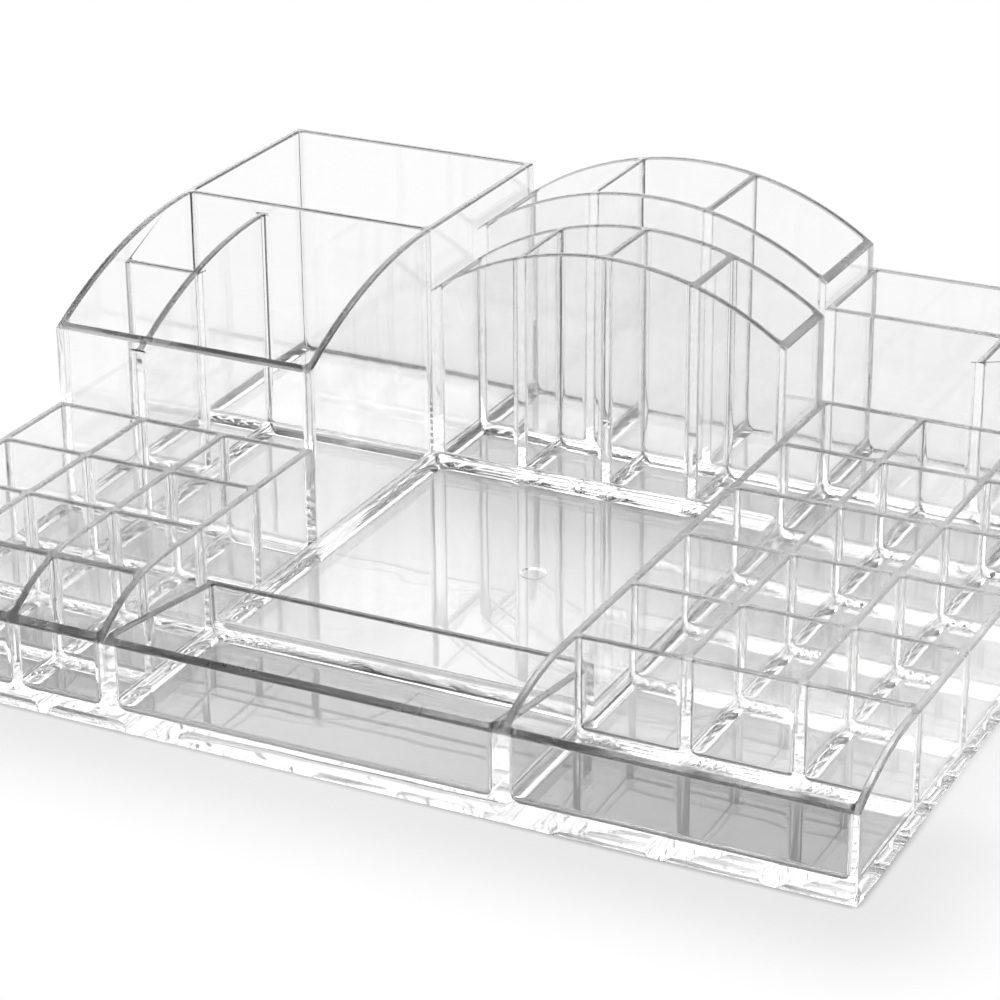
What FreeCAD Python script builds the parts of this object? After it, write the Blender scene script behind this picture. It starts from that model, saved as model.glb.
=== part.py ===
import FreeCAD, Part
import math
import os
import Sketcher

# A clear vanity organizer: moulded open shells side by side, with flat divider plates cemented into them.
# X runs to the right along the front, Y to the back and Z up. The origin is at the middle of the footprint.

# Driving sizes in millimetres
SIZES = {
    # Columns and rows of the plan
    "left_width": 76.5,
    "centre_width": 102.5,
    "right_width": 85.0,
    "overall_depth": 229.0,
    "rear_depth": 35.5,
    "arch_depth": 27.5,
    "tall_front_depth": 66.0,
    "trough_depth": 48.0,
    # Walls, plates and clearances
    "wall": 2.0,
    "plate": 2.0,
    "floor_thickness": 4.2,
    "cove": 3.0,
    "corner_round": 0.6,
    "joint_gap": 0.2,
    "slip_gap": 0.12,
    # Racks
    "front_height": 22.5,
    "left_rack_height": 33.0,
    "left_rack_rise": 28.0,
    "left_first_row": 19.4,
    "right_rack_height": 30.2,
    "right_rack_rise": 30.0,
    "right_first_row": 37.4,
    # Tall box at the back left
    "tall_height": 71.2,
    "tall_front_drop": 17.2,
    "tall_divider_place": 24.5,
    "tall_divider_drop": 3.0,
    "short_divider_place": 33.0,
    "short_divider_drop": 9.2,
    # Trough and tray of the centre column
    "trough_back_height": 18.5,
    "rim_slant": 1.0,
    "tray_rim": 3.5,
    "gate_radius": 3.4,
    "gate_depth": 0.8,
    # Arched holders, whose crowns are set from the top of the tall box
    "front_arch_drop": 0.2,
    "front_arch_crown": 17.0,
    "rear_arch_lift": 8.3,
    "rear_arch_crown": 16.7,
    "arch_divider_drop": 0.3,
    # Box at the back right
    "right_box_height": 56.0,
    "right_divider_drop": 8.6,
}

# Counts of cells
RACK_COLUMNS = 3
LEFT_ROWS = 4
RIGHT_ROWS = 6
FRONT_ARCH_CELLS = 4
REAR_ARCH_CELLS = 3

# Places in the plan, as formulas of the sizes
LEFT_EDGE = "-(Sizes.left_width + Sizes.centre_width + Sizes.right_width) / 2"
CENTRE_EDGE = f"{LEFT_EDGE} + Sizes.left_width"
RIGHT_EDGE = f"{CENTRE_EDGE} + Sizes.centre_width"
FRONT_EDGE = "-Sizes.overall_depth / 2"
TRAY_EDGE = f"{FRONT_EDGE} + Sizes.trough_depth"
REAR_EDGE = "Sizes.overall_depth / 2 - Sizes.rear_depth"
ARCH_EDGE = f"{REAR_EDGE} - Sizes.arch_depth"
TALL_EDGE = f"{ARCH_EDGE} - Sizes.tall_front_depth"

# Outside sizes of the shells, each half a joint gap inside its place in the plan
LEFT_SPAN = "(Sizes.left_width - Sizes.joint_gap)"
CENTRE_SPAN = "(Sizes.centre_width - Sizes.joint_gap)"
RIGHT_SPAN = "(Sizes.right_width - Sizes.joint_gap)"
REAR_SPAN = "(Sizes.rear_depth - Sizes.joint_gap)"
ARCH_SPAN = "(Sizes.arch_depth - Sizes.joint_gap)"
TALL_SPAN = "(Sizes.tall_front_depth + Sizes.arch_depth + Sizes.rear_depth - Sizes.joint_gap)"
TROUGH_SPAN = "(Sizes.trough_depth - Sizes.joint_gap)"
RIGHT_RACK_SPAN = "(Sizes.overall_depth - Sizes.rear_depth - Sizes.joint_gap)"
LEFT_RACK_SPAN = (
    "(Sizes.overall_depth - Sizes.rear_depth - Sizes.arch_depth"
    " - Sizes.tall_front_depth - Sizes.joint_gap)"
)
TRAY_SPAN = (
    "(Sizes.overall_depth - Sizes.rear_depth - Sizes.arch_depth"
    " - Sizes.trough_depth - Sizes.joint_gap)"
)

# Heights that are set from the top of the tall box
TALL_FRONT = "(Sizes.tall_height - Sizes.tall_front_drop)"
SHORT_DIVIDER_TOP = "(Sizes.tall_height - Sizes.short_divider_drop)"
FRONT_ARCH_END = "(Sizes.tall_height - Sizes.front_arch_drop - Sizes.front_arch_crown)"
REAR_ARCH_END = "(Sizes.tall_height + Sizes.rear_arch_lift - Sizes.rear_arch_crown)"

# Fits of the plates in their shells and in each other
SEAT = "Sizes.floor_thickness + Sizes.slip_gap"
PLATE_START = "Sizes.wall + Sizes.slip_gap"
SLOT_HALF = "(Sizes.plate / 2 + Sizes.slip_gap)"

TOLERANCE = 1e-4

document = FreeCAD.newDocument("VanityOrganizer")
sheet = document.addObject("Spreadsheet::Sheet", "Sizes")
for row, (alias, number) in enumerate(SIZES.items(), 1):
    sheet.set(f"A{row}", alias)
    sheet.set(f"B{row}", str(number))
    sheet.setAlias(f"B{row}", alias)
document.recompute()

pieces = []


def value(formula):
    """The number that a formula of the sizes gives now."""
    return float(sheet.evalExpression(formula))


def near(first, second):
    return abs(first - second) < TOLERANCE


def new_piece(label, edge_x, edge_y):
    """A body whose own origin is the lower front left corner of its place in the plan."""
    body = document.addObject("PartDesign::Body", label)
    body.Label = label
    body.setExpression("Placement.Base.x", f"{edge_x} + Sizes.joint_gap / 2")
    body.setExpression("Placement.Base.y", f"{edge_y} + Sizes.joint_gap / 2")
    pieces.append(body)
    return body


def new_sketch(body, name, role, offset="0"):
    """A sketch on one of the body's own planes, moved along the plane's normal."""
    plane = next(item for item in body.Origin.OriginFeatures if item.Role == role)
    sketch = body.newObject("Sketcher::SketchObject", name)
    sketch.AttachmentSupport = [(plane, "")]
    sketch.MapMode = "FlatFace"
    sketch.setExpression("AttachmentOffset.Base.z", offset)
    return sketch


def bind(sketch, constraint, name, formula):
    """Add a named constraint that follows a formula of the sizes."""
    index = sketch.addConstraint(constraint)
    sketch.renameConstraint(index, name)
    sketch.setExpression(f"Constraints.{name}", formula)


def raised_arc(start, finish, radius):
    """An arc of the given radius between two points of a sketch, on the upper side of their chord."""
    chord = finish - start
    normal = FreeCAD.Vector(-chord.y, chord.x, 0) / chord.Length
    if normal.y < 0:
        normal = -normal
    height = radius - math.sqrt(radius**2 - (chord.Length / 2) ** 2)
    return Part.Arc(start, (start + finish) / 2 + normal * height, finish)


def outline(sketch, corners, bend=None):
    """A closed outline through corners given as pairs of formulas.

    bend is a side's number and the formula of its radius: that side is an arc which bulges up.
    """
    first = sketch.GeometryCount
    places = [FreeCAD.Vector(value(across), value(up), 0) for across, up in corners]
    count = len(corners)
    ends = []
    for side, start in enumerate(places):
        finish = places[(side + 1) % count]
        if bend and side == bend[0]:
            index = sketch.addGeometry(raised_arc(start, finish, value(bend[1])))
        else:
            index = sketch.addGeometry(Part.LineSegment(start, finish))
        turned = sketch.getPoint(index, 1).distanceToPoint(start) > TOLERANCE
        ends.append((2, 1) if turned else (1, 2))
    for side, (across, up) in enumerate(corners):
        index = first + side
        following = (side + 1) % count
        sketch.addConstraint(
            Sketcher.Constraint("Coincident", index, ends[side][1], first + following, ends[following][0])
        )
        point = (-1, 1, index, ends[side][0])
        bind(sketch, Sketcher.Constraint("DistanceX", *point, places[side].x), f"across_{index}", across)
        bind(sketch, Sketcher.Constraint("DistanceY", *point, places[side].y), f"up_{index}", up)
    if bend:
        side, radius = bend
        bind(sketch, Sketcher.Constraint("Radius", first + side, value(radius)), "bend", radius)


def rectangle(sketch, low_x, low_y, high_x, high_y):
    outline(sketch, [(low_x, low_y), (high_x, low_y), (high_x, high_y), (low_x, high_y)])


def pad(body, sketch, length, backwards=False):
    feature = body.newObject("PartDesign::Pad", "Pad")
    feature.Profile = sketch
    feature.Reversed = backwards
    feature.setExpression("Length", length)
    document.recompute()
    return feature


def cut_through(body, sketch, base, name, upwards):
    """Cut everything on one side of a sketch, and make sure that it removed material."""
    feature = body.newObject("PartDesign::Pocket", name)
    feature.Profile = sketch
    feature.Type = "ThroughAll"
    feature.Reversed = upwards
    document.recompute()
    if feature.Shape.Volume > base.Shape.Volume - TOLERANCE:
        raise RuntimeError(f"{body.Label}: {name} cut nothing")
    return feature


def round_edges(body, base, name, radius, wanted):
    """Round the edges of the body whose middle point passes the test."""
    names = [
        f"Edge{number}" for number, edge in enumerate(base.Shape.Edges, 1) if wanted(edge.CenterOfMass)
    ]
    feature = body.newObject("PartDesign::Fillet", name)
    feature.Base = (base, names)
    feature.setExpression("Radius", radius)
    document.recompute()
    return feature


def open_shell(label, edge_x, edge_y, width, depth, profile, bend=None, faces_front=False):
    """A moulded open box: its outline drawn from the side or the front, hollowed from above and coved."""
    body = new_piece(label, edge_x, edge_y)
    if faces_front:
        sketch = new_sketch(body, "FrontOutline", "XZ_Plane")
        outline(sketch, profile, bend)
        block = pad(body, sketch, depth, backwards=True)
    else:
        sketch = new_sketch(body, "SideOutline", "YZ_Plane")
        outline(sketch, profile, bend)
        block = pad(body, sketch, width)
    inside = new_sketch(body, "Hollow", "XY_Plane", "Sizes.floor_thickness")
    rectangle(inside, "Sizes.wall", "Sizes.wall", f"{width} - Sizes.wall", f"{depth} - Sizes.wall")
    hollow = cut_through(body, inside, block, "HollowCut", upwards=True)

    wall, floor = value("Sizes.wall"), value("Sizes.floor_thickness")
    wide, deep = value(width), value(depth)

    def inner_edge(point):
        at_side = near(point.x, wall) or near(point.x, wide - wall)
        at_end = near(point.y, wall) or near(point.y, deep - wall)
        return near(point.z, floor) or (at_side and at_end)

    def outer_corner(point):
        return (near(point.x, 0) or near(point.x, wide)) and (near(point.y, 0) or near(point.y, deep))

    coved = round_edges(body, hollow, "Coves", "Sizes.cove", inner_edge)
    round_edges(body, coved, "Corners", "Sizes.corner_round", outer_corner)
    return body


def divider_plate(label, edge_x, edge_y, role, offset, corners, bend=None, slots=()):
    """A flat plate with rounded lower corners that clear the coves of its shell, and half-lap slots."""
    body = new_piece(label, edge_x, edge_y)
    sketch = new_sketch(body, "Outline", role, offset)
    outline(sketch, corners, bend)
    tip = pad(body, sketch, "Sizes.plate")
    if slots:
        openings = new_sketch(body, "Slots", role, offset)
        for slot in slots:
            rectangle(openings, *slot)
        tip = cut_through(body, openings, tip, "SlotCut", upwards=True)
    low, high = value(corners[0][0]), value(corners[1][0])
    foot = value(corners[0][1])

    def lower_corner(point):
        along = point.x if role == "XZ_Plane" else point.y
        return near(point.z, foot) and (near(along, low) or near(along, high))

    round_edges(body, tip, "FootCorners", "Sizes.cove", lower_corner)
    return body


def cell_place(number, total, cells):
    """The middle of a divider that parts a shell's inside into equal cells."""
    return f"(Sizes.wall + {number} * ({total} - 2 * Sizes.wall + Sizes.plate) / {cells} - Sizes.plate / 2)"


def row_place(number, first_row, depth, rows):
    """The middle of a rack's cross wall: the first has its own place and the rest share the room behind."""
    step = f"({depth} - Sizes.wall + Sizes.plate / 2 - {first_row}) / {rows - 1}"
    return f"({first_row} + {number - 1} * {step})"


def facing_front(place):
    """The sketch offset of a plate that stands across the depth, with the plate about its place."""
    return f"-({place} + Sizes.plate / 2)"


def facing_side(place):
    """The sketch offset of a plate that stands along the depth, with the plate about its place."""
    return f"{place} - Sizes.plate / 2"


def level_radius(run, rise):
    """The radius of an arc that climbs by rise over run and is level at its upper end."""
    return f"((({run})^2 + ({rise})^2) / (2 * ({rise})))"


def rising_outline(depth, low, high, rise_end):
    """A side outline with an arc that rises from the low front face to a level top; and the arc as a bend."""
    corners = [("0", "0"), (depth, "0"), (depth, high), (rise_end, high), ("0", low)]
    return corners, (3, level_radius(rise_end, f"{high} - ({low})"))


def rack(side, edge_x, width, depth, first_row, rows, height, rise, grid_front):
    """An open shell with an egg-crate grid of plates; grid_front is where its long dividers begin."""
    profile, bend = rising_outline(depth, "Sizes.front_height", height, rise)
    open_shell(f"{side}_rack_shell", edge_x, FRONT_EDGE, width, depth, profile, bend)

    def top_at(place):
        """The height of the side walls at a distance from the front face."""
        run = f"({rise} - ({place}))"
        if value(run) <= 0:
            return height
        return f"({height} - {bend[1]} + sqrt({bend[1]}^2 - {run}^2))"

    lap = f"(Sizes.floor_thickness + {height}) / 2"
    columns = [cell_place(number, width, RACK_COLUMNS) for number in range(1, RACK_COLUMNS)]
    places = [row_place(number, first_row, depth, rows) for number in range(1, rows)]
    crossed = []
    for number, place in enumerate(places, 1):
        meets_dividers = value(place) > value(grid_front)
        slots = []
        if meets_dividers:
            crossed.append(place)
            slots = [
                (f"{middle} - {SLOT_HALF}", "0", f"{middle} + {SLOT_HALF}", f"{lap} + Sizes.slip_gap")
                for middle in columns
            ]
        far_side, top = f"{width} - Sizes.wall - Sizes.slip_gap", top_at(f"{place} - Sizes.plate / 2")
        divider_plate(
            f"{side}_rack_cross_wall_{number}", edge_x, FRONT_EDGE, "XZ_Plane", facing_front(place),
            [(PLATE_START, SEAT), (far_side, SEAT), (far_side, top), (PLATE_START, top)],
            slots=slots,
        )
    back = f"{depth} - Sizes.wall - Sizes.slip_gap"
    sides = [(grid_front, SEAT), (back, SEAT), (back, height), (grid_front, top_at(grid_front))]
    follows_arc = value(grid_front) < value(rise)
    if follows_arc:
        sides.insert(3, (rise, height))
    for number, middle in enumerate(columns, 1):
        divider_plate(
            f"{side}_rack_long_divider_{number}", edge_x, FRONT_EDGE, "YZ_Plane", facing_side(middle),
            sides, bend if follows_arc else None,
            slots=[
                (f"{place} - {SLOT_HALF}", lap, f"{place} + {SLOT_HALF}", f"{height} + Sizes.plate")
                for place in crossed
            ],
        )


def arch_radius(span, crown):
    """The radius of an arc over a span with a given crown height."""
    return f"((({span} / 2)^2 + {crown}^2) / (2 * {crown}))"


def arched_holder(name, edge_y, depth, height, crown, cells):
    """An open shell with arched front and back walls, and dividers that follow the arch."""
    span = CENTRE_SPAN
    radius = arch_radius(span, crown)
    open_shell(
        f"{name}_shell", CENTRE_EDGE, edge_y, span, depth,
        [("0", "0"), (span, "0"), (span, height), ("0", height)],
        bend=(2, radius), faces_front=True,
    )
    for number in range(1, cells):
        place = cell_place(number, span, cells)
        sideways = f"(abs({place} - {span} / 2) + Sizes.plate / 2)"
        arch_there = f"({height} + {crown} - {radius} + sqrt({radius}^2 - {sideways}^2))"
        top = f"{arch_there} - Sizes.arch_divider_drop"
        back = f"{depth} - Sizes.wall - Sizes.slip_gap"
        divider_plate(
            f"{name}_divider_{number}", CENTRE_EDGE, edge_y, "YZ_Plane", facing_side(place),
            [(PLATE_START, SEAT), (back, SEAT), (back, top), (PLATE_START, top)],
        )


def left_column():
    rack(
        "left", LEFT_EDGE, LEFT_SPAN, LEFT_RACK_SPAN, "Sizes.left_first_row", LEFT_ROWS,
        "Sizes.left_rack_height", "Sizes.left_rack_rise", PLATE_START,
    )
    open_shell(
        "left_box_shell", LEFT_EDGE, TALL_EDGE, LEFT_SPAN, TALL_SPAN,
        *rising_outline(TALL_SPAN, TALL_FRONT, "Sizes.tall_height", "Sizes.tall_front_depth"),
    )
    far_side = f"{LEFT_SPAN} - Sizes.wall - Sizes.slip_gap"
    cross_wall = "(Sizes.tall_front_depth + Sizes.plate / 2)"
    divider_plate(
        "left_box_cross_wall", LEFT_EDGE, TALL_EDGE, "XZ_Plane", facing_front(cross_wall),
        [
            (PLATE_START, SEAT),
            (far_side, SEAT),
            (far_side, "Sizes.tall_height"),
            (PLATE_START, "Sizes.tall_height"),
        ],
    )
    back = "Sizes.tall_front_depth - Sizes.slip_gap"
    low = f"{TALL_FRONT} - Sizes.tall_divider_drop"
    high = "Sizes.tall_height - Sizes.tall_divider_drop"
    divider_plate(
        "left_box_long_divider", LEFT_EDGE, TALL_EDGE, "YZ_Plane", facing_side("Sizes.tall_divider_place"),
        [(PLATE_START, SEAT), (back, SEAT), (back, high), (PLATE_START, low)],
        bend=(2, level_radius(f"{back} - ({PLATE_START})", "Sizes.tall_front_drop")),
    )
    near_divider = "Sizes.tall_divider_place - Sizes.plate / 2 - Sizes.slip_gap"
    divider_plate(
        "left_box_short_divider", LEFT_EDGE, TALL_EDGE, "XZ_Plane",
        facing_front("Sizes.short_divider_place"),
        [
            (PLATE_START, SEAT),
            (near_divider, SEAT),
            (near_divider, SHORT_DIVIDER_TOP),
            (PLATE_START, SHORT_DIVIDER_TOP),
        ],
    )


def centre_column():
    open_shell(
        "front_trough", CENTRE_EDGE, FRONT_EDGE, CENTRE_SPAN, TROUGH_SPAN,
        [
            ("0", "0"),
            (TROUGH_SPAN, "0"),
            (TROUGH_SPAN, "Sizes.trough_back_height"),
            (f"{TROUGH_SPAN} - Sizes.wall", "Sizes.trough_back_height"),
            ("Sizes.wall", "Sizes.front_height + Sizes.rim_slant"),
            ("0", "Sizes.front_height"),
        ],
    )
    rim = "Sizes.floor_thickness + Sizes.tray_rim"
    tray = open_shell(
        "tray", CENTRE_EDGE, TRAY_EDGE, CENTRE_SPAN, TRAY_SPAN,
        [("0", "0"), (TRAY_SPAN, "0"), (TRAY_SPAN, rim), ("0", rim)],
    )
    gate_mark(tray)
    arched_holder(
        "front_arch", ARCH_EDGE, ARCH_SPAN, FRONT_ARCH_END, "Sizes.front_arch_crown", FRONT_ARCH_CELLS
    )
    arched_holder(
        "rear_arch", REAR_EDGE, REAR_SPAN, REAR_ARCH_END, "Sizes.rear_arch_crown", REAR_ARCH_CELLS
    )


def gate_mark(tray):
    """The round moulding dimple under the tray floor, at the middle of the organizer's footprint."""
    base = tray.Tip
    sketch = new_sketch(tray, "GateMark", "XY_Plane")
    across = f"-({CENTRE_EDGE} + Sizes.joint_gap / 2)"
    up = f"-({TRAY_EDGE} + Sizes.joint_gap / 2)"
    middle = FreeCAD.Vector(value(across), value(up), 0)
    radius = value("Sizes.gate_radius")
    ring = sketch.addGeometry(Part.Circle(middle, FreeCAD.Vector(0, 0, 1), radius))
    bind(sketch, Sketcher.Constraint("DistanceX", -1, 1, ring, 3, middle.x), "gate_across", across)
    bind(sketch, Sketcher.Constraint("DistanceY", -1, 1, ring, 3, middle.y), "gate_up", up)
    bind(sketch, Sketcher.Constraint("Radius", ring, radius), "gate_radius", "Sizes.gate_radius")
    dimple = tray.newObject("PartDesign::Pocket", "GateDimple")
    dimple.Profile = sketch
    dimple.Reversed = True
    dimple.setExpression("Length", "Sizes.gate_depth")
    document.recompute()
    if dimple.Shape.Volume > base.Shape.Volume - TOLERANCE:
        raise RuntimeError("tray: the gate dimple cut nothing")


def right_column():
    grid_front = "(Sizes.right_first_row + Sizes.plate / 2 + Sizes.slip_gap)"
    rack(
        "right", RIGHT_EDGE, RIGHT_SPAN, RIGHT_RACK_SPAN, "Sizes.right_first_row", RIGHT_ROWS,
        "Sizes.right_rack_height", "Sizes.right_rack_rise", grid_front,
    )
    open_shell(
        "right_box_shell", RIGHT_EDGE, REAR_EDGE, RIGHT_SPAN, REAR_SPAN,
        [
            ("0", "0"),
            (REAR_SPAN, "0"),
            (REAR_SPAN, "Sizes.right_box_height"),
            ("0", "Sizes.right_box_height"),
        ],
    )
    back = f"{REAR_SPAN} - Sizes.wall - Sizes.slip_gap"
    top = "Sizes.right_box_height - Sizes.right_divider_drop"
    divider_plate(
        "right_box_divider", RIGHT_EDGE, REAR_EDGE, "YZ_Plane", facing_side(cell_place(1, RIGHT_SPAN, 2)),
        [(PLATE_START, SEAT), (back, SEAT), (back, top), (PLATE_START, top)],
    )


def check_and_write():
    """Refuse a failed object, then write each piece to its own file."""
    document.recompute()
    for item in document.Objects:
        if "Invalid" in item.State or "Error" in item.State:
            raise RuntimeError(f"{item.Label} failed: {item.State}")
    for piece in pieces:
        shape = piece.Shape
        if shape.isNull() or not shape.isValid() or len(shape.Solids) != 1:
            raise RuntimeError(f"{piece.Label} has no sound solid")
    os.makedirs("parts", exist_ok=True)
    for piece in pieces:
        piece.Shape.exportStep(f"parts/{piece.Label}.step")
        box = piece.Shape.BoundBox
        print(f"{piece.Label}: {box.XLength:.1f} x {box.YLength:.1f} x {box.ZLength:.1f} mm")
    print(f"{len(pieces)} pieces")


left_column()
centre_column()
right_column()
check_and_write()
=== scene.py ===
# %% [markdown]
# # A clear vanity organizer
# The real object is a set of open trays, racks and brush holders in clear plastic, joined side by side.
# Everything it shows comes from light that bends inside its walls, so the lesson is about closed, softly
# rounded meshes, one refracting finish, and a studio that gives the plastic something to show.
# The packed CAD model is loaded first: it says where every wall and divider stands.

# %% Load the frame
import math

import bmesh
import bpy
from mathutils import Matrix, Vector


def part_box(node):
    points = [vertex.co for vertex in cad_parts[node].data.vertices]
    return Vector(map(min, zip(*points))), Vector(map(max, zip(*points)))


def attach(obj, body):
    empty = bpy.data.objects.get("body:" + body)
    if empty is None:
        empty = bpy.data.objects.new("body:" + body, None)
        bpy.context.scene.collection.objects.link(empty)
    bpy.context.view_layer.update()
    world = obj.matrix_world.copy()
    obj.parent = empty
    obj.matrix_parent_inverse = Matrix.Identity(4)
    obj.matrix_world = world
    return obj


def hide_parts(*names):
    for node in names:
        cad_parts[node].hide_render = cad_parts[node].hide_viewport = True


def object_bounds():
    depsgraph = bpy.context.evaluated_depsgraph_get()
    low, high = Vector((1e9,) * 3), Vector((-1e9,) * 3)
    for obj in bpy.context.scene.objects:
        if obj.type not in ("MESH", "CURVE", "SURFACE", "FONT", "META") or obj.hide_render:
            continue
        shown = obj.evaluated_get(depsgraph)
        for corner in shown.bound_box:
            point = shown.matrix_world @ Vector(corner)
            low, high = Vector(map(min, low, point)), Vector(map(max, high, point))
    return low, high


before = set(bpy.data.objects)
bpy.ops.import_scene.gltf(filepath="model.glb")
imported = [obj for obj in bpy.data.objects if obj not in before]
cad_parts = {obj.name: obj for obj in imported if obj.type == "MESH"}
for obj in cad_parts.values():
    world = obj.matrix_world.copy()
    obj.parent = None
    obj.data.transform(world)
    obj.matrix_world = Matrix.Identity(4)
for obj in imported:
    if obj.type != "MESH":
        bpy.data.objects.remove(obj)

CAD_BOX = [list(corner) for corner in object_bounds()]
print(f"{len(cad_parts)} nodes in the box {CAD_BOX}")

# %% [markdown]
# ## Walls and cells
# A moulder thinks of such a rack as a block of plastic that is pressed against a row of core pins: each pin
# leaves one cell. The same thought works in Blender. The shells and dividers of the frame give the spans
# between walls, so the cells land exactly where the CAD has them, and nothing is measured twice.

# %% Read the spans between walls
WALL = 0.002
X, Y = 0, 1


def cell_spans(shell, axis, dividers=()):
    """The clear spans between a shell's two walls and the dividers that stand across an axis."""
    low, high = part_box(shell)
    edges = [low[axis] + WALL]
    for divider in dividers:
        near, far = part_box(divider)
        edges += [near[axis], far[axis]]
    edges.append(high[axis] - WALL)
    return list(zip(edges[::2], edges[1::2]))


def numbered(stem, count):
    return [f"{stem}_{number}" for number in range(1, count + 1)]


LEFT_LONG = numbered("left_rack_long_divider", 2)
LEFT_CROSS = numbered("left_rack_cross_wall", 3)
RIGHT_LONG = numbered("right_rack_long_divider", 2)
RIGHT_CROSS = numbered("right_rack_cross_wall", 5)
first_cell = cell_spans("left_rack_shell", X, LEFT_LONG)[0]
print(f"a small cell is {1000 * (first_cell[1] - first_cell[0]):.1f} mm wide inside")

# %% [markdown]
# ## The outer block
# Each moulding starts as the outline of its side or its front, drawn with a few corners. Where the real
# outline is an arc, one corner is spun about the arc's middle, which draws the curve with as many steps as
# it needs. Extruding the face then gives the block. Drawing the outline first keeps the arcs true, which
# lifting the vertices of a finished box would not.
# The mouldings are cemented together. Each block grows by a little over half the joint, so that neighbours
# overlap slightly: an air gap there would act as a mirror inside the clear walls.


# %% Draw an outline and extrude it
SEAM = 0.000115


def block_box(shell):
    """A shell's box, grown over half the joint so that cemented neighbours are in optical contact."""
    low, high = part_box(shell)
    grow = Vector((SEAM, SEAM, 0))
    return low - grow, high + grow


def outline_block(corners, along, arc=None):
    """A block from an outline; arc is (corner number, middle, axis, angle, steps) for the corner to spin."""
    bm = bmesh.new()
    rim = []
    for number, corner in enumerate(corners):
        rim.append(bm.verts.new(corner))
        if arc and number == arc[0]:
            _, middle, axis, angle, steps = arc
            bmesh.ops.spin(bm, geom=[rim[-1]], cent=middle, axis=axis, angle=angle, steps=steps)
            bm.verts.ensure_lookup_table()
            rim += bm.verts[-steps:]
    face = bm.faces.new(rim)
    pushed = bmesh.ops.extrude_face_region(bm, geom=[face])["geom"]
    moved = [item for item in pushed if isinstance(item, bmesh.types.BMVert)]
    bmesh.ops.translate(bm, verts=moved, vec=along)
    bmesh.ops.recalc_face_normals(bm, faces=bm.faces)
    return bm


def plain_block(shell):
    low, high = block_box(shell)
    corners = [(low.x, low.y, 0), (low.x, high.y, 0), (low.x, high.y, high.z), (low.x, low.y, high.z)]
    return outline_block(corners, (high.x - low.x, 0, 0))


trial = plain_block("tray")
print(f"the tray's block has {len(trial.verts)} vertices")
trial.free()

# %% [markdown]
# ## Rising and arched blocks
# The racks and the tall box have side walls that rise from the front in an arc, and the brush holders are
# arched from side to side. For both, a chord and its height give the radius, and so the arc's middle.


# %% Draw the arcs
def rising_arc(number, x, top_y, top_z, run, rise, steps):
    """The arc that leaves a level top at (top_y, top_z) and falls by rise towards the front."""
    radius = (run**2 + rise**2) / (2 * rise)
    return number, Vector((x, top_y, top_z - radius)), Vector((1, 0, 0)), math.asin(run / radius), steps


def rising_block(shell, front_height, arc_end, steps):
    """A block whose side walls rise from its front face in an arc, up to a level top."""
    low, high = block_box(shell)
    corners = [
        (low.x, low.y, 0),
        (low.x, high.y, 0),
        (low.x, high.y, high.z),
        (low.x, low.y + arc_end, high.z),
    ]
    arc = rising_arc(3, low.x, low.y + arc_end, high.z, arc_end, high.z - front_height, steps)
    return outline_block(corners, (high.x - low.x, 0, 0), arc)


def arched_block(shell, crown, steps):
    """A block whose top is an arch from side to side."""
    low, high = block_box(shell)
    half = (high.x - low.x) / 2
    radius = (half**2 + crown**2) / (2 * crown)
    corners = [(low.x, low.y, 0), (high.x, low.y, 0), (high.x, low.y, high.z - crown)]
    middle = Vector(((low.x + high.x) / 2, low.y, high.z - radius))
    arc = (2, middle, Vector((0, -1, 0)), 2 * math.asin(half / radius), steps)
    return outline_block(corners, (0, high.y - low.y, 0), arc)


REAR_CROWN = 0.0167
ARCH_STEPS = 32
trial = arched_block("rear_arch_shell", REAR_CROWN, ARCH_STEPS)
print(f"the rear arch's block has {len(trial.verts)} vertices")
trial.free()

# %% [markdown]
# ## Core pins
# A pin is a cube with its upright edges and its foot rounded, so each cell gets the coved bottom and soft
# corners that show as bright U shapes on the real object. Rounding the pin is much easier than rounding the
# inside of a finished pocket, because all its edges are convex and stand free. The foot has the full cove
# and the upright edges a smaller round, so every edge is marked with its own bevel weight.


# %% Make core pins
FLOOR = 0.0042
ABOVE = 0.1
COVE = 0.003
UPRIGHT = 0.0012
NEARLY = 1e-6


def add_cube(bm, low, high):
    """A cube between two corners."""
    low, high = Vector(low), Vector(high)
    place = Matrix.Translation((low + high) / 2) @ Matrix.Diagonal((*(high - low), 1))
    return bmesh.ops.create_cube(bm, size=1, matrix=place)["verts"]


def is_upright(edge):
    return (edge.verts[0].co - edge.verts[1].co).xy.length < NEARLY


def add_pin(bm, low, high):
    """One core pin: a cube whose foot is marked for the full cove and its upright edges for a small round."""
    layers = bm.edges.layers.float
    weight = layers.get("bevel_weight_edge") or layers.new("bevel_weight_edge")
    for edge in {edge for vert in add_cube(bm, low, high) for edge in vert.link_edges}:
        if is_upright(edge):
            edge[weight] = UPRIGHT / COVE
        elif edge.verts[0].co.z < low[2] + NEARLY:
            edge[weight] = 1.0


def pin_grid(across, along):
    """Pins for every pair of spans, from the floor up through the open top."""
    bm = bmesh.new()
    for near_x, far_x in across:
        for near_y, far_y in along:
            add_pin(bm, (near_x, near_y, FLOOR), (far_x, far_y, ABOVE))
    return bm


trial = pin_grid(cell_spans("left_rack_shell", X, LEFT_LONG), cell_spans("left_rack_shell", Y, LEFT_CROSS))
print(f"the left rack has pins with {len(trial.faces)} faces in all")
trial.free()

# %% [markdown]
# ## Carving
# A Boolean modifier takes the pins out of the block, after a Bevel modifier has rounded their marked edges.
# Both are applied at once, so the piece keeps a plain mesh.

# %% Carve with pins
COVE_STEPS = 6


def new_object(name, bm):
    mesh = bpy.data.meshes.new(name)
    bm.to_mesh(mesh)
    bm.free()
    piece = bpy.data.objects.new(name, mesh)
    bpy.context.scene.collection.objects.link(piece)
    return piece


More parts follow.
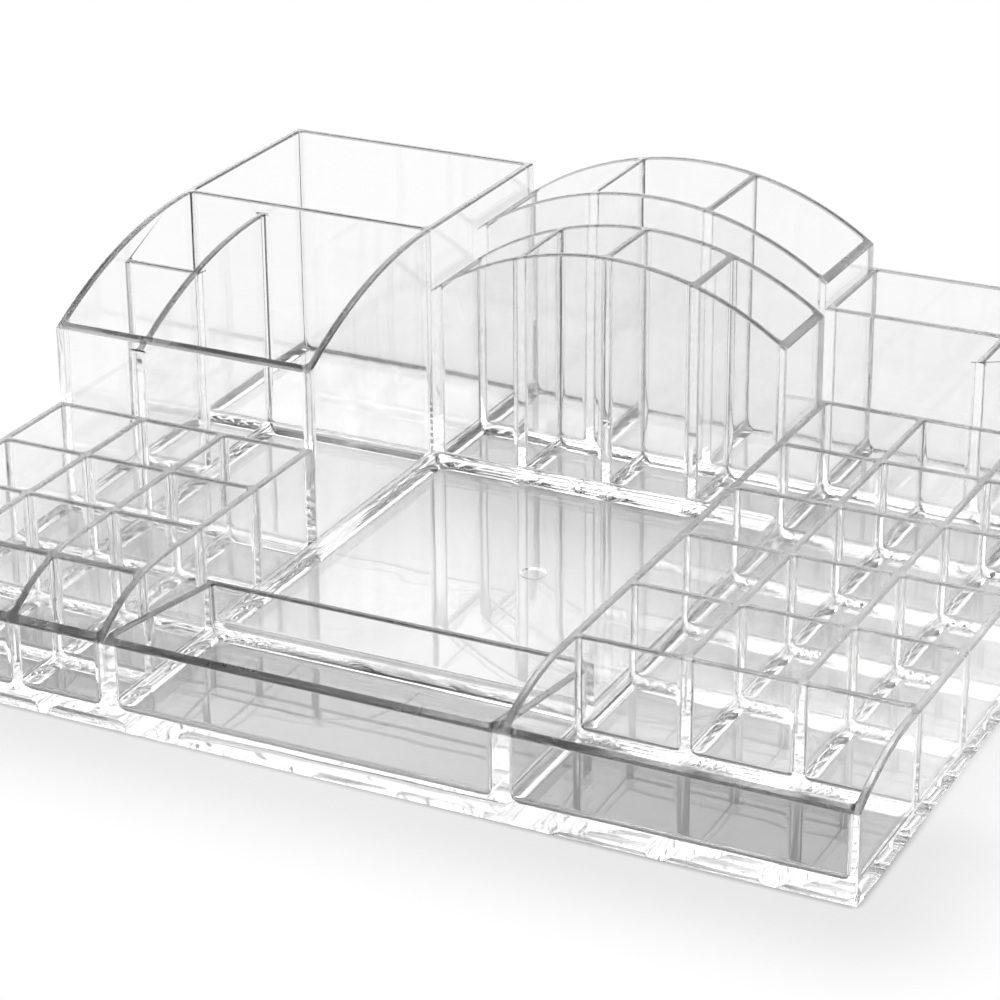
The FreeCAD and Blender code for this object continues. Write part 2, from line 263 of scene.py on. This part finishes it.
def apply_modifiers(piece):
    """Replace a piece's mesh by what its modifiers make of it."""
    evaluated = piece.evaluated_get(bpy.context.evaluated_depsgraph_get())
    mesh = bpy.data.meshes.new_from_object(evaluated)
    piece.modifiers.clear()
    piece.data = mesh


def carve(piece, cutter_bm):
    """Take a cutter out of a piece, with the cutter's marked edges rounded first."""
    cutter = new_object("cutter", cutter_bm)
    coves = cutter.modifiers.new("coves", "BEVEL")
    coves.limit_method = "WEIGHT"
    coves.width = COVE
    coves.segments = COVE_STEPS
    coves.profile = 0.5
    coves.use_clamp_overlap = False
    cut = piece.modifiers.new("carve", "BOOLEAN")
    cut.operation = "DIFFERENCE"
    cut.solver = "EXACT"
    cut.object = cutter
    apply_modifiers(piece)
    bpy.data.objects.remove(cutter)


print(f"coves are {1000 * COVE:.0f} mm at the foot and {1000 * UPRIGHT:.1f} mm at the upright corners")

# %% [markdown]
# ## Softening
# Every sharp outer edge gets a small round: no moulded edge is a knife edge, and it is these narrow rounds
# that draw the thin light and dark lines along every rim. Weighted normals keep the large walls flat next to
# them, which matters more on a refracting surface than on a painted one.

# %% Soften the edges
RIM = 0.0007
CORNER = 0.0006
ROUND_STEPS = 4
SHARP = math.radians(40)
FLAT = math.radians(0.5)
OUTER = Vector(CAD_BOX[1]) - Vector((WALL, WALL, 0))


def round_edges(bm, edges, width):
    bmesh.ops.bevel(
        bm, geom=edges, offset=width, segments=ROUND_STEPS, profile=0.5, affect="EDGES",
        clamp_overlap=False, material=-1,
    )


def at_outer_corner(edge):
    """Whether an edge stands at one of the four corners of the whole organizer."""
    return all(abs(vert.co.x) > OUTER.x and abs(vert.co.y) > OUTER.y for vert in edge.verts)


def is_rim(edge):
    """Whether an edge is a sharp one that lies above the floor."""
    if not edge.is_manifold or not edge.is_convex or is_upright(edge):
        return False
    return edge.calc_face_angle() > SHARP and max(vert.co.z for vert in edge.verts) > FLOOR


def soften(piece):
    """Round the free corners and the rims, then shade smoothly with the flat walls kept flat."""
    bm = bmesh.new()
    bm.from_mesh(piece.data)
    bmesh.ops.remove_doubles(bm, verts=bm.verts, dist=NEARLY)
    bmesh.ops.dissolve_limit(bm, angle_limit=FLAT, verts=bm.verts, edges=bm.edges)
    round_edges(bm, [edge for edge in bm.edges if is_upright(edge) and at_outer_corner(edge)], CORNER)
    round_edges(bm, [edge for edge in bm.edges if is_rim(edge)], RIM)
    for face in bm.faces:
        face.smooth = True
    bm.to_mesh(piece.data)
    bm.free()
    piece.data.set_sharp_from_angle(angle=SHARP)
    weigh = piece.modifiers.new("weigh", "WEIGHTED_NORMAL")
    weigh.keep_sharp = True
    apply_modifiers(piece)


print(f"rims get a round of {1000 * RIM:.1f} mm")

# %% [markdown]
# ## From block to moulding
# Each moulding is carved, softened and then stands for its shell and for all the dividers in it. One closed
# mesh for them all leaves no hidden faces inside the plastic, which would show as false reflections.

# %% Make a moulding
mouldings = {}


def moulding(name, block, cutters, nodes):
    """Carve a block, soften it, and let it stand for its CAD nodes."""
    piece = new_object(name, block)
    for cutter in cutters:
        carve(piece, cutter)
    soften(piece)
    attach(piece, "root")
    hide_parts(*nodes)
    mouldings[name] = piece
    piece.data.name = name
    print(f"{name}: {len(piece.data.polygons)} faces")


# %% [markdown]
# ## The two racks
# The racks hold lipsticks and bottles in an egg-crate of cells. Their side walls swing up from the low front
# wall in an arc. Its steps are few, so that no step ends on the narrow top of a cross wall, where the rim's
# round would have no room. The right rack has an open trough along its front, so its first row is one long
# pin.

# %% Mould the racks
FRONT_HEIGHT = 0.0225
LEFT_RISE = 0.028
LEFT_STEPS = 6
RIGHT_RISE = 0.030
RIGHT_STEPS = 8

moulding(
    "left_rack_moulding",
    rising_block("left_rack_shell", FRONT_HEIGHT, LEFT_RISE, LEFT_STEPS),
    [pin_grid(cell_spans("left_rack_shell", X, LEFT_LONG), cell_spans("left_rack_shell", Y, LEFT_CROSS))],
    ["left_rack_shell", *LEFT_LONG, *LEFT_CROSS],
)

trough_row, *cell_rows = cell_spans("right_rack_shell", Y, RIGHT_CROSS)
right_pins = pin_grid(cell_spans("right_rack_shell", X, RIGHT_LONG), cell_rows)
(trough_x,) = cell_spans("right_rack_shell", X)
add_pin(right_pins, (trough_x[0], trough_row[0], FLOOR), (trough_x[1], trough_row[1], ABOVE))
moulding(
    "right_rack_moulding",
    rising_block("right_rack_shell", FRONT_HEIGHT, RIGHT_RISE, RIGHT_STEPS),
    [right_pins],
    ["right_rack_shell", *RIGHT_LONG, *RIGHT_CROSS],
)

# %% [markdown]
# ## The tall box
# The tall box at the back left falls to its front in a long arc. Its lengthwise divider follows the same arc
# a little lower, and a short divider parts the narrow side. The room above both is cleared by plain cutters
# that are wider than the dividers, so that the corner rounds stop where the dividers do.

# %% Mould the tall box
TALL_DROP = 0.0172
TALL_ARC_END = 0.066
TALL_STEPS = 20
LONG_STEPS = 16
CLEAR = UPRIGHT + 0.0003

low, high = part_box("left_box_shell")
cross_low, cross_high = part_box("left_box_cross_wall")
long_low, long_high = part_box("left_box_long_divider")
short_low, short_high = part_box("left_box_short_divider")
inside_x = (low.x + WALL, high.x - WALL)
front, back = low.y + WALL, high.y - WALL

box_pins = bmesh.new()
add_pin(box_pins, (inside_x[0], cross_high.y, FLOOR), (inside_x[1], back, ABOVE))
add_pin(box_pins, (long_high.x, front, FLOOR), (inside_x[1], cross_low.y, ABOVE))
add_pin(box_pins, (inside_x[0], front, FLOOR), (long_low.x, short_low.y, ABOVE))
add_pin(box_pins, (inside_x[0], short_high.y, FLOOR), (long_low.x, cross_low.y, ABOVE))

side = long_low.x - CLEAR
over_long = outline_block(
    [(side, front, ABOVE), (side, cross_low.y, ABOVE), (side, cross_low.y, long_high.z)],
    (long_high.x - long_low.x + 2 * CLEAR, 0, 0),
    rising_arc(2, side, cross_low.y, long_high.z, cross_low.y - front, TALL_DROP, LONG_STEPS),
)
over_short = bmesh.new()
add_cube(
    over_short,
    (inside_x[0], short_low.y - CLEAR, short_high.z), (long_low.x, short_high.y + CLEAR, ABOVE),
)
moulding(
    "left_box_moulding",
    rising_block("left_box_shell", high.z - TALL_DROP, TALL_ARC_END, TALL_STEPS),
    [box_pins, over_long, over_short],
    ["left_box_shell", "left_box_cross_wall", "left_box_long_divider", "left_box_short_divider"],
)

# %% [markdown]
# ## Trough
# The trough for pencils along the front has a slanted front rim, from which its side walls fall in a straight
# line to the lower back wall. The slant runs a little past the wall, so that its ridge doesn't lie in the
# plane of the pocket, where the carving would fail.

# %% Mould the trough
TROUGH_BACK = 0.0185
PAST_WALL = 0.0009


def sloped_block(shell, front_height, back_height):
    """A block with a slanted front rim, from which the side walls fall to the back wall."""
    low, high = block_box(shell)
    slant = (high.z - front_height) / WALL
    ridge = WALL + PAST_WALL
    corners = [
        (low.x, low.y, 0),
        (low.x, high.y, 0),
        (low.x, high.y, back_height),
        (low.x, high.y - ridge, back_height),
        (low.x, low.y + ridge, front_height + ridge * slant),
        (low.x, low.y, front_height),
    ]
    return outline_block(corners, (high.x - low.x, 0, 0))


moulding(
    "front_trough_moulding",
    sloped_block("front_trough", FRONT_HEIGHT, TROUGH_BACK),
    [pin_grid(cell_spans("front_trough", X), cell_spans("front_trough", Y))],
    ["front_trough"],
)

# %% [markdown]
# ## Tray
# The wide tray has a shallow rim and, under its floor, the small round dimple where the plastic entered the
# mould. A short cylinder cuts it from below.

# %% Mould the tray
GATE_RADIUS = 0.0034
GATE_DEPTH = 0.0008
GATE_SIDES = 40

gate = bmesh.new()
bmesh.ops.create_cone(
    gate, cap_ends=True, segments=GATE_SIDES, radius1=GATE_RADIUS, radius2=GATE_RADIUS, depth=2 * GATE_DEPTH
)
moulding(
    "tray_moulding",
    plain_block("tray"),
    [pin_grid(cell_spans("tray", X), cell_spans("tray", Y)), gate],
    ["tray"],
)

# %% [markdown]
# ## Arched brush holders
# Two holders for brushes stand behind the tray. Their front and back walls are arches, and the dividers end
# level with them, so a pin for each cell is all that the block needs.

# %% Mould the brush holders
FRONT_CROWN = 0.017

for stem, crown, count in (("front_arch", FRONT_CROWN, 3), ("rear_arch", REAR_CROWN, 2)):
    shell, dividers = f"{stem}_shell", numbered(f"{stem}_divider", count)
    moulding(
        f"{stem}_moulding",
        arched_block(shell, crown, ARCH_STEPS),
        [pin_grid(cell_spans(shell, X, dividers), cell_spans(shell, Y))],
        [shell, *dividers],
    )

# %% [markdown]
# ## The box at the back right
# A plain box with one divider that stops short of the rim.

# %% Mould the back box
low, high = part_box("right_box_shell")
part_low, part_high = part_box("right_box_divider")
back_x = cell_spans("right_box_shell", X, ["right_box_divider"])
back_pins = pin_grid(back_x, cell_spans("right_box_shell", Y))
over_part = bmesh.new()
add_cube(
    over_part,
    (part_low.x - CLEAR, low.y + WALL, part_high.z), (part_high.x + CLEAR, high.y - WALL, ABOVE),
)
moulding(
    "right_box_moulding",
    plain_block("right_box_shell"),
    [back_pins, over_part],
    ["right_box_shell", "right_box_divider"],
)

# %% [markdown]
# ## Short words for wiring
# The finishes below are small networks of nodes. Making, setting and linking each node takes several lines,
# so this helper has one word for each kind of node. What goes in may be a plain value or what comes out of
# another node.


# %% Wire nodes in a few words
class Wiring:
    """Each word makes one node, feeds it and hands back what comes out."""

    def __init__(self, tree):
        self.tree = tree

    def feed(self, socket, value):
        if isinstance(value, bpy.types.NodeSocket):
            self.tree.links.new(value, socket)
        else:
            socket.default_value = value

    def node(self, kind, **inputs):
        """A node with its named inputs fed; an underscore in a name stands for a space."""
        made = self.tree.nodes.new(kind)
        for name, value in inputs.items():
            self.feed(made.inputs[name.replace("_", " ")], value)
        return made

    def operate(self, kind, operation, values):
        made = self.tree.nodes.new(kind)
        made.operation = operation
        for socket, value in zip(made.inputs, values):
            self.feed(socket, value)
        return made.outputs

    def math(self, operation, *values):
        return self.operate("ShaderNodeMath", operation, values)["Value"]

    def vectors(self, operation, *values):
        out = self.operate("ShaderNodeVectorMath", operation, values)
        return out["Value" if operation == "LENGTH" else "Vector"]

    def split(self, vector):
        return self.node("ShaderNodeSeparateXYZ", Vector=vector).outputs

    def noise(self, place, **inputs):
        return self.node("ShaderNodeTexNoise", Vector=place, **inputs).outputs["Fac"]

    def ramp(self, value, span, low=0.0, high=1.0, ease="SMOOTHSTEP"):
        """Go from low to high while the value goes through a span."""
        made = self.node(
            "ShaderNodeMapRange", Value=value, From_Min=span[0], From_Max=span[1], To_Min=low, To_Max=high
        )
        made.interpolation_type = ease
        return made.outputs["Result"]

    def blend(self, share, first, second):
        """A plain mix of two values."""
        return self.node("ShaderNodeMix", Factor=share, A=first, B=second).outputs["Result"]

    def either(self, share, first, second):
        """A mix of two shaders."""
        made = self.node("ShaderNodeMixShader", Fac=share)
        self.feed(made.inputs[1], first)
        self.feed(made.inputs[2], second)
        return made.outputs["Shader"]


print("the wiring words are", ", ".join(word for word in vars(Wiring) if not word.startswith("_")))

# %% [markdown]
# ## Moulding marks and painted rim shade
# Clear moulded plastic is never optically perfect. Its skin waves slightly where the melt cooled unevenly,
# and handling leaves faint smears that scatter a little light. The rims are painted grey, a painted shade for
# the dark lines they draw, darkest on the low front rims, and they are a little rougher. All this is shared
# by all the pieces, so it is one node group that puts out a height for the bump, a roughness and a slightly
# varying colour that also holds the painted rim shade. A rim is found by where it is: it faces up and lies
# above the floors and their coves.

# %% Build the shared group
TINT_LOW, TINT_HIGH = 0.984, 0.994
SMEAR_SCALE, SMEAR_DETAIL, SMEAR_WARP = 70.0, 5.0, 0.6
SMEAR_SPAN = (0.45, 0.75)
RIM_UP = (0.05, 0.35)
RIM_HIGH = (0.008, 0.011)
RIM_ROUGH = 0.25
FRONT_RIMS = (0.025, 0.032)
# Grey levels of the painted rim shade, on the low front rims and on the higher ones
FRONT_RIM_SHADE, BACK_RIM_SHADE = 0.1, 0.42


def marks_and_rim_shade():
    group = bpy.data.node_groups.new("moulding marks and rim shade", "ShaderNodeTree")
    for name in ("Wave Scale", "Smear"):
        group.interface.new_socket(name, in_out="INPUT", socket_type="NodeSocketFloat")
    for name, kind in (("Height", "Float"), ("Roughness", "Float"), ("Tint", "Color")):
        group.interface.new_socket(name, in_out="OUTPUT", socket_type=f"NodeSocket{kind}")
    wire = Wiring(group)
    given = wire.node("NodeGroupInput").outputs
    place = wire.node("ShaderNodeTexCoord").outputs

    up = wire.math("ABSOLUTE", wire.split(place["Normal"])["Z"])
    height = wire.split(place["Object"])["Z"]
    rim = wire.math("MULTIPLY", wire.ramp(up, RIM_UP), wire.ramp(height, RIM_HIGH))

    wave = wire.noise(place["Object"], Scale=given["Wave Scale"], Detail=1.0)
    clear = wire.math("MULTIPLY_ADD", wave, TINT_HIGH - TINT_LOW, TINT_LOW)
    # Painted shade: the up-facing rims are made grey, darkest on the low front rims.
    tint_and_rim_shade = wire.blend(rim, clear, wire.ramp(height, FRONT_RIMS, FRONT_RIM_SHADE, BACK_RIM_SHADE))

    smear = wire.noise(place["Object"], Scale=SMEAR_SCALE, Detail=SMEAR_DETAIL, Distortion=SMEAR_WARP)
    smears = wire.math("MULTIPLY", wire.ramp(smear, SMEAR_SPAN, ease="LINEAR"), given["Smear"])
    rough = wire.math("MULTIPLY_ADD", rim, RIM_ROUGH, smears)
    wire.node("NodeGroupOutput", Height=wave, Roughness=rough, Tint=tint_and_rim_shade)
    return group


MARKS = marks_and_rim_shade()
print(f"{MARKS.name}: {len(MARKS.nodes)} nodes")

# %% [markdown]
# ## Clear plastic
# The finish is a refracting Principled shader with full transmission. A path tracer finds the light that
# passes through so many walls only by chance, so shadow rays see the plastic as a grey film instead: the
# floor under the organizer then gets a soft, quiet shadow. That switch reads the light path, so it stays in
# the material. Sheet is flatter than moulded plastic, so the plates of the CAD model have a finish with
# fewer marks.

# %% Make the clear finishes
REFRACTION = 1.58
BUMP_DISTANCE = 0.001
SHADOW_FILM = (0.8, 0.8, 0.8, 1)


def clear_plastic(name, wave_scale, smear, bump):
    material = bpy.data.materials.new(name)
    material.use_nodes = True
    wire = Wiring(material.node_tree)
    shader = material.node_tree.nodes["Principled BSDF"]
    shader.inputs["Transmission Weight"].default_value = 1.0
    shader.inputs["IOR"].default_value = REFRACTION
    group = wire.node("ShaderNodeGroup")
    group.node_tree = MARKS
    group.inputs["Wave Scale"].default_value = wave_scale
    group.inputs["Smear"].default_value = smear
    marks = group.outputs
    lift = wire.node("ShaderNodeBump", Strength=bump, Distance=BUMP_DISTANCE, Height=marks["Height"])
    # The base colour takes the group's colour output, with the painted rim shade in it.
    wire.feed(shader.inputs["Base Color"], marks["Tint"])
    wire.feed(shader.inputs["Roughness"], marks["Roughness"])
    wire.feed(shader.inputs["Normal"], lift.outputs["Normal"])
    film = wire.node("ShaderNodeBsdfTransparent", Color=SHADOW_FILM).outputs["BSDF"]
    shadow_ray = wire.node("ShaderNodeLightPath").outputs["Is Shadow Ray"]
    output = material.node_tree.nodes["Material Output"]
    wire.feed(output.inputs["Surface"], wire.either(shadow_ray, shader.outputs["BSDF"], film))
    return material


MOULDED = clear_plastic("clear moulded plastic", 45.0, 0.05, 0.05)
SHEET = clear_plastic("clear sheet plastic", 25.0, 0.03, 0.05)


def dress(piece, material):
    piece.data.materials.clear()
    piece.data.materials.append(material)


for piece in mouldings.values():
    dress(piece, MOULDED)
for name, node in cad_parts.items():
    dress(node, SHEET if "divider" in name or "wall" in name else MOULDED)
print(f"{MOULDED.name} is on {len(mouldings)} pieces")

# %% [markdown]
# ## Light through many walls
# A ray to the back of the organizer crosses dozens of surfaces. With the usual limit on bounces it would end
# inside the plastic and come back black, so the limits are raised.

# %% Allow enough bounces
scene = bpy.context.scene
scene.view_settings.view_transform = "Standard"
scene.cycles.max_bounces = 48
scene.cycles.transmission_bounces = 48
scene.cycles.glossy_bounces = 24
scene.cycles.diffuse_bounces = 3
scene.cycles.transparent_max_bounces = 64
print(f"rays may cross {scene.cycles.transmission_bounces} surfaces")

# %% [markdown]
# ## Floor
# Clear plastic shows only its surroundings. Here it stands on a pale floor that reads as plain white a little
# way off, to the camera and through the plastic: there it gives off an even white to the rays that see it.
# Close to the organizer it is painted instead, so it keeps the soft shadow. Under the front troughs, and most
# under the right one, its paint is darker, a painted shade that makes the front panels look grey.

# %% Lay the floor
trough_low, trough_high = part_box("front_trough")
right_low, right_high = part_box("right_rack_shell")
FOOTPRINT = (OUTER.x, OUTER.y, 1.0)
UNDER_TROUGH = (trough_high.y - 0.0185, trough_high.y + 0.0065)
TO_THE_RIGHT = ((trough_low.x + trough_high.x) / 2, (right_low.x + right_high.x) / 2)
TROUGH_SHADE_LEFT, TROUGH_SHADE_RIGHT, PAINT_BACK = 0.34, 0.17, 0.72
GLOW_FRONT, GLOW_BACK = 0.0, 0.07
BESIDE, AWAY = 0.004, 0.045
BESIDE_WHITE = 0.8
STUDIO_EDGE = (-0.5, -0.3)
STUDIO_DARK = 0.2
FLOOR_SIZE = 6
FLOOR_DROP = 0.0002


def floor_paint():
    """A pale floor that is plain white a little way off, with a painted shade under the front of the
    organizer.
    """
    material = bpy.data.materials.new("white floor")
    material.use_nodes = True
    tree = material.node_tree
    wire = Wiring(tree)
    place = wire.node("ShaderNodeTexCoord").outputs["Object"]
    way = wire.split(place)
    rays = wire.node("ShaderNodeLightPath").outputs
    other_ray = wire.math("MAXIMUM", rays["Is Glossy Ray"], rays["Is Transmission Ray"])
    lit = wire.ramp(way["Y"], STUDIO_EDGE, STUDIO_DARK, 1.0)
    seen = wire.math("MAXIMUM", rays["Is Camera Ray"], wire.math("MULTIPLY", other_ray, lit))

    outside = wire.vectors("SUBTRACT", wire.vectors("ABSOLUTE", place), FOOTPRINT)
    away = wire.vectors("LENGTH", wire.vectors("MAXIMUM", outside, (0, 0, 0)))
    step = wire.ramp(away, (0.0, BESIDE), 0.0, BESIDE_WHITE)
    fade = wire.ramp(away, (BESIDE, AWAY), 0.0, 1.0 - BESIDE_WHITE)
    under = wire.ramp(way["Y"], UNDER_TROUGH)
    # Painted shade: the floor's colour is darker under the front troughs, darkest under the right one.
    trough_shade_paint = wire.ramp(way["X"], TO_THE_RIGHT, TROUGH_SHADE_LEFT, TROUGH_SHADE_RIGHT)
    glow = wire.math("MULTIPLY", seen, wire.blend(under, GLOW_FRONT, GLOW_BACK))

    paint = tree.nodes["Principled BSDF"]
    paint.inputs["Roughness"].default_value = 0.9
    paint.inputs["Specular IOR Level"].default_value = 0.0
    paint.inputs["Emission Color"].default_value = (1, 1, 1, 1)
    wire.feed(paint.inputs["Base Color"], wire.blend(under, trough_shade_paint, PAINT_BACK))
    wire.feed(paint.inputs["Emission Strength"], glow)
    white = wire.node("ShaderNodeEmission").outputs["Emission"]
    share = wire.math("MULTIPLY", seen, wire.math("ADD", step, fade))
    surface = wire.either(share, paint.outputs["BSDF"], white)
    wire.feed(tree.nodes["Material Output"].inputs["Surface"], surface)
    return material


floor_bm = bmesh.new()
bmesh.ops.create_grid(floor_bm, x_segments=1, y_segments=1, size=FLOOR_SIZE)
bmesh.ops.translate(floor_bm, verts=floor_bm.verts, vec=(0, 0, -FLOOR_DROP))
floor = new_object("floor", floor_bm)
floor.data.materials.append(floor_paint())
print(f"the floor lies {1000 * FLOOR_DROP:.1f} mm under the organizer")

# %% [markdown]
# ## Room and lamp
# As in a product studio, the light comes from behind: the room is bright there and dark in front and
# overhead, so that the edges draw grey lines. The camera itself sees the room as white. One large lamp from
# the back gives the soft shadow.

# %% Light the room
ROOM_FRONT, ROOM_BACK, ROOM_TOP = 0.03, 2.2, 0.1
TO_THE_BACK = (0.1, 0.5)
TO_THE_TOP = (0.5, 0.75)


def studio_room():
    """A room that is bright behind the organizer and dark in front and overhead; the camera sees it white."""
    world = bpy.data.worlds.new("studio room")
    world.use_nodes = True
    wire = Wiring(world.node_tree)
    way = wire.split(wire.node("ShaderNodeTexCoord").outputs["Generated"])
    depth = wire.ramp(way["Y"], TO_THE_BACK, ROOM_FRONT, ROOM_BACK)
    height = wire.ramp(way["Z"], TO_THE_TOP, 1.0, ROOM_TOP)
    camera_ray = wire.node("ShaderNodeLightPath").outputs["Is Camera Ray"]
    background = world.node_tree.nodes["Background"]
    background.inputs["Color"].default_value = (1, 1, 1, 1)
    level = wire.blend(camera_ray, wire.math("MULTIPLY", depth, height), 1.0)
    wire.feed(background.inputs["Strength"], level)
    return world


LAMP_PLACE = Vector((-0.2, 0.75, 1.25))
LAMP_AIM = Vector((0, 0, 0.03))

scene.world = studio_room()
lamp_data = bpy.data.lights.new("back lamp", "AREA")
lamp_data.size = 0.8
lamp_data.energy = 12
lamp = bpy.data.objects.new("back lamp", lamp_data)
lamp.location = LAMP_PLACE
lamp.rotation_euler = (LAMP_AIM - LAMP_PLACE).to_track_quat("-Z", "Y").to_euler()
scene.collection.objects.link(lamp)
print(f"the lamp is {(LAMP_AIM - LAMP_PLACE).length:.2f} m away")

# %% [markdown]
# ## Camera
# The camera was fitted to the corners of the organizer in the picture: it looks down from the front right
# with a long lens. Its axes are built from the two angles and a slight roll.

# %% Place the camera
AZIMUTH, ELEVATION, ROLL = math.radians(26.7), math.radians(23.9), math.radians(-0.5)
CAMERA_PLACE = (0.3405, -0.6956, 0.3667)
SENSOR, FOCAL_LENGTH = 36.0, 120.41

backward = Vector(
    (math.sin(AZIMUTH) * math.cos(ELEVATION), -math.cos(AZIMUTH) * math.cos(ELEVATION), math.sin(ELEVATION))
)
rightward = Vector((math.cos(AZIMUTH), math.sin(AZIMUTH), 0))
upward = backward.cross(rightward)
turned_right = rightward * math.cos(ROLL) + upward * math.sin(ROLL)
turned_up = upward * math.cos(ROLL) - rightward * math.sin(ROLL)
lens = bpy.data.cameras.new("camera")
lens.sensor_width = SENSOR
lens.lens = FOCAL_LENGTH
camera = bpy.data.objects.new("camera", lens)
camera.matrix_world = Matrix((turned_right, turned_up, backward)).transposed().to_4x4()
camera.location = CAMERA_PLACE
scene.collection.objects.link(camera)
scene.camera = camera
print(f"the camera is at {CAMERA_PLACE}")

# %% [markdown]
